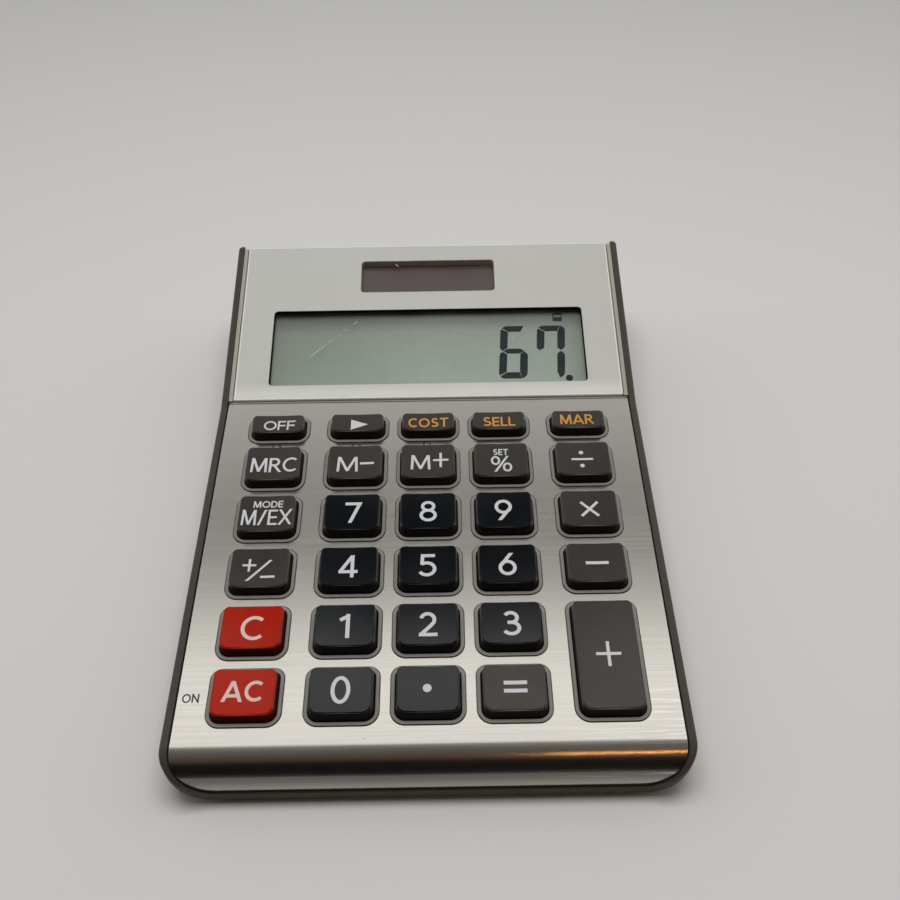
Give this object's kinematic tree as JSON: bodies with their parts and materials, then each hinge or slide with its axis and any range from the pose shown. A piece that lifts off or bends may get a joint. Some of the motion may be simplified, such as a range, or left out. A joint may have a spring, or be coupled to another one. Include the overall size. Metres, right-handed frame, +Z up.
{
  "type": "desktop calculator",
  "caption": "Desktop calculator with a tilted display, a solar cell, a bent brushed metal faceplate and sliding keys in a dark case.",
  "frame": {"origin": "middle of the case's width and depth, on the table under its feet", "axes": "+Z up; +X to the right of the person using it; +Y away from them, so the display is at +Y"},
  "size_m": [0.103, 0.147, 0.0289],
  "materials": {
    "case_dark": "fine satin, dark taupe grey",
    "brushed_metal": "brushed along the width, clear coated",
    "frame_taupe": "satin taupe",
    "panel_satin": "satin champagne silver",
    "clear_window": "clear, polished",
    "display_glass": "grey green liquid crystal cell",
    "inner_white": "moulded",
    "screw_steel": "plated",
    "ribbon_amber": "flexible film",
    "solar_cell": "dark brown cell under glass",
    "lead_cover": "insulated",
    "mat_rubber": "silicone",
    "board_green": "solder mask",
    "board_part_black": "moulded",
    "resin_black": "cast resin",
    "cell_steel": "polished can",
    "clip_steel": "spring strip",
    "foot_rubber": "moulded",
    "key_black": "semi gloss",
    "key_grey": "satin",
    "key_red": "semi gloss"
  },
  "bodies": {
    "case": {"upper_case": "case_dark", "faceplate": "brushed_metal", "inner_frame": "frame_taupe", "display_panel": "panel_satin", "display_window": "clear_window", "solar_window": "clear_window", "display_glass": "display_glass", "display_holder": "inner_white", "display_screws": "screw_steel", "display_ribbon": "ribbon_amber", "solar_cell": "solar_cell", "solar_leads": "lead_cover", "key_mat": "mat_rubber", "circuit_board": "board_green", "board_screws": "screw_steel", "board_parts": "board_part_black", "chip_cover": "resin_black", "button_cell": "cell_steel", "negative_clip": "clip_steel", "positive_clip": "clip_steel", "back_cover": "case_dark", "case_screws": "screw_steel", "rubber_feet": "foot_rubber"},
    "key_plus_cap": {"key_plus": "key_grey"},
    "key_all_clear_cap": {"key_all_clear": "key_red"},
    "key_0_cap": {"key_0": "key_black"},
    "key_point_cap": {"key_point": "key_black"},
    "key_equals_cap": {"key_equals": "key_grey"},
    "key_clear_cap": {"key_clear": "key_red"},
    "key_1_cap": {"key_1": "key_black"},
    "key_2_cap": {"key_2": "key_black"},
    "key_3_cap": {"key_3": "key_black"},
    "key_sign_cap": {"key_sign": "key_grey"},
    "key_4_cap": {"key_4": "key_black"},
    "key_5_cap": {"key_5": "key_black"},
    "key_6_cap": {"key_6": "key_black"},
    "key_minus_cap": {"key_minus": "key_grey"},
    "key_mode_cap": {"key_mode": "key_grey"},
    "key_7_cap": {"key_7": "key_black"},
    "key_8_cap": {"key_8": "key_black"},
    "key_9_cap": {"key_9": "key_black"},
    "key_multiply_cap": {"key_multiply": "key_grey"},
    "key_recall_cap": {"key_recall": "key_grey"},
    "key_memory_minus_cap": {"key_memory_minus": "key_grey"},
    "key_memory_plus_cap": {"key_memory_plus": "key_grey"},
    "key_set_percent_cap": {"key_set_percent": "key_grey"},
    "key_divide_cap": {"key_divide": "key_grey"},
    "key_off_cap": {"key_off": "key_grey"},
    "key_arrow_cap": {"key_arrow": "key_grey"},
    "key_cost_cap": {"key_cost": "key_grey"},
    "key_sell_cap": {"key_sell": "key_grey"},
    "key_margin_cap": {"key_margin": "key_grey"}
  },
  "joints": [
    {"name": "key_plus_press", "type": "slide", "parent": "case", "child": "key_plus_cap", "axis": [0, 0.0593, -0.9982], "range_m": [0, 0.0013], "stiffness_N_per_m": 400, "springref_m": -0.0007, "deforming": ["key_mat"]},
    {"name": "key_all_clear_press", "type": "slide", "parent": "case", "child": "key_all_clear_cap", "axis": [0, 0.0593, -0.9982], "range_m": [0, 0.0013], "stiffness_N_per_m": 300, "springref_m": -0.0007, "deforming": ["key_mat"]},
    {"name": "key_0_press", "type": "slide", "parent": "case", "child": "key_0_cap", "axis": [0, 0.0593, -0.9982], "range_m": [0, 0.0013], "stiffness_N_per_m": 300, "springref_m": -0.0007, "deforming": ["key_mat"]},
    {"name": "key_point_press", "type": "slide", "parent": "case", "child": "key_point_cap", "axis": [0, 0.0593, -0.9982], "range_m": [0, 0.0013], "stiffness_N_per_m": 300, "springref_m": -0.0007, "deforming": ["key_mat"]},
    {"name": "key_equals_press", "type": "slide", "parent": "case", "child": "key_equals_cap", "axis": [0, 0.0593, -0.9982], "range_m": [0, 0.0013], "stiffness_N_per_m": 300, "springref_m": -0.0007, "deforming": ["key_mat"]},
    {"name": "key_clear_press", "type": "slide", "parent": "case", "child": "key_clear_cap", "axis": [0, 0.0593, -0.9982], "range_m": [0, 0.0013], "stiffness_N_per_m": 300, "springref_m": -0.0007, "deforming": ["key_mat"]},
    {"name": "key_1_press", "type": "slide", "parent": "case", "child": "key_1_cap", "axis": [0, 0.0593, -0.9982], "range_m": [0, 0.0013], "stiffness_N_per_m": 300, "springref_m": -0.0007, "deforming": ["key_mat"]},
    {"name": "key_2_press", "type": "slide", "parent": "case", "child": "key_2_cap", "axis": [0, 0.0593, -0.9982], "range_m": [0, 0.0013], "stiffness_N_per_m": 300, "springref_m": -0.0007, "deforming": ["key_mat"]},
    {"name": "key_3_press", "type": "slide", "parent": "case", "child": "key_3_cap", "axis": [0, 0.0593, -0.9982], "range_m": [0, 0.0013], "stiffness_N_per_m": 300, "springref_m": -0.0007, "deforming": ["key_mat"]},
    {"name": "key_sign_press", "type": "slide", "parent": "case", "child": "key_sign_cap", "axis": [0, 0.0593, -0.9982], "range_m": [0, 0.0013], "stiffness_N_per_m": 300, "springref_m": -0.0007, "deforming": ["key_mat"]},
    {"name": "key_4_press", "type": "slide", "parent": "case", "child": "key_4_cap", "axis": [0, 0.0593, -0.9982], "range_m": [0, 0.0013], "stiffness_N_per_m": 300, "springref_m": -0.0007, "deforming": ["key_mat"]},
    {"name": "key_5_press", "type": "slide", "parent": "case", "child": "key_5_cap", "axis": [0, 0.0593, -0.9982], "range_m": [0, 0.0013], "stiffness_N_per_m": 300, "springref_m": -0.0007, "deforming": ["key_mat"]},
    {"name": "key_6_press", "type": "slide", "parent": "case", "child": "key_6_cap", "axis": [0, 0.0593, -0.9982], "range_m": [0, 0.0013], "stiffness_N_per_m": 300, "springref_m": -0.0007, "deforming": ["key_mat"]},
    {"name": "key_minus_press", "type": "slide", "parent": "case", "child": "key_minus_cap", "axis": [0, 0.0593, -0.9982], "range_m": [0, 0.0013], "stiffness_N_per_m": 300, "springref_m": -0.0007, "deforming": ["key_mat"]},
    {"name": "key_mode_press", "type": "slide", "parent": "case", "child": "key_mode_cap", "axis": [0, 0.0593, -0.9982], "range_m": [0, 0.0013], "stiffness_N_per_m": 300, "springref_m": -0.0007, "deforming": ["key_mat"]},
    {"name": "key_7_press", "type": "slide", "parent": "case", "child": "key_7_cap", "axis": [0, 0.0593, -0.9982], "range_m": [0, 0.0013], "stiffness_N_per_m": 300, "springref_m": -0.0007, "deforming": ["key_mat"]},
    {"name": "key_8_press", "type": "slide", "parent": "case", "child": "key_8_cap", "axis": [0, 0.0593, -0.9982], "range_m": [0, 0.0013], "stiffness_N_per_m": 300, "springref_m": -0.0007, "deforming": ["key_mat"]},
    {"name": "key_9_press", "type": "slide", "parent": "case", "child": "key_9_cap", "axis": [0, 0.0593, -0.9982], "range_m": [0, 0.0013], "stiffness_N_per_m": 300, "springref_m": -0.0007, "deforming": ["key_mat"]},
    {"name": "key_multiply_press", "type": "slide", "parent": "case", "child": "key_multiply_cap", "axis": [0, 0.0593, -0.9982], "range_m": [0, 0.0013], "stiffness_N_per_m": 300, "springref_m": -0.0007, "deforming": ["key_mat"]},
    {"name": "key_recall_press", "type": "slide", "parent": "case", "child": "key_recall_cap", "axis": [0, 0.0593, -0.9982], "range_m": [0, 0.0013], "stiffness_N_per_m": 300, "springref_m": -0.0007, "deforming": ["key_mat"]},
    {"name": "key_memory_minus_press", "type": "slide", "parent": "case", "child": "key_memory_minus_cap", "axis": [0, 0.0593, -0.9982], "range_m": [0, 0.0013], "stiffness_N_per_m": 300, "springref_m": -0.0007, "deforming": ["key_mat"]},
    {"name": "key_memory_plus_press", "type": "slide", "parent": "case", "child": "key_memory_plus_cap", "axis": [0, 0.0593, -0.9982], "range_m": [0, 0.0013], "stiffness_N_per_m": 300, "springref_m": -0.0007, "deforming": ["key_mat"]},
    {"name": "key_set_percent_press", "type": "slide", "parent": "case", "child": "key_set_percent_cap", "axis": [0, 0.0593, -0.9982], "range_m": [0, 0.0013], "stiffness_N_per_m": 300, "springref_m": -0.0007, "deforming": ["key_mat"]},
    {"name": "key_divide_press", "type": "slide", "parent": "case", "child": "key_divide_cap", "axis": [0, 0.0593, -0.9982], "range_m": [0, 0.0013], "stiffness_N_per_m": 300, "springref_m": -0.0007, "deforming": ["key_mat"]},
    {"name": "key_off_press", "type": "slide", "parent": "case", "child": "key_off_cap", "axis": [0, 0.0593, -0.9982], "range_m": [0, 0.0013], "stiffness_N_per_m": 300, "springref_m": -0.0007, "deforming": ["key_mat"]},
    {"name": "key_arrow_press", "type": "slide", "parent": "case", "child": "key_arrow_cap", "axis": [0, 0.0593, -0.9982], "range_m": [0, 0.0013], "stiffness_N_per_m": 300, "springref_m": -0.0007, "deforming": ["key_mat"]},
    {"name": "key_cost_press", "type": "slide", "parent": "case", "child": "key_cost_cap", "axis": [0, 0.0593, -0.9982], "range_m": [0, 0.0013], "stiffness_N_per_m": 300, "springref_m": -0.0007, "deforming": ["key_mat"]},
    {"name": "key_sell_press", "type": "slide", "parent": "case", "child": "key_sell_cap", "axis": [0, 0.0593, -0.9982], "range_m": [0, 0.0013], "stiffness_N_per_m": 300, "springref_m": -0.0007, "deforming": ["key_mat"]},
    {"name": "key_margin_press", "type": "slide", "parent": "case", "child": "key_margin_cap", "axis": [0, 0.0593, -0.9982], "range_m": [0, 0.0013], "stiffness_N_per_m": 300, "springref_m": -0.0007, "deforming": ["key_mat"]}
  ]
}
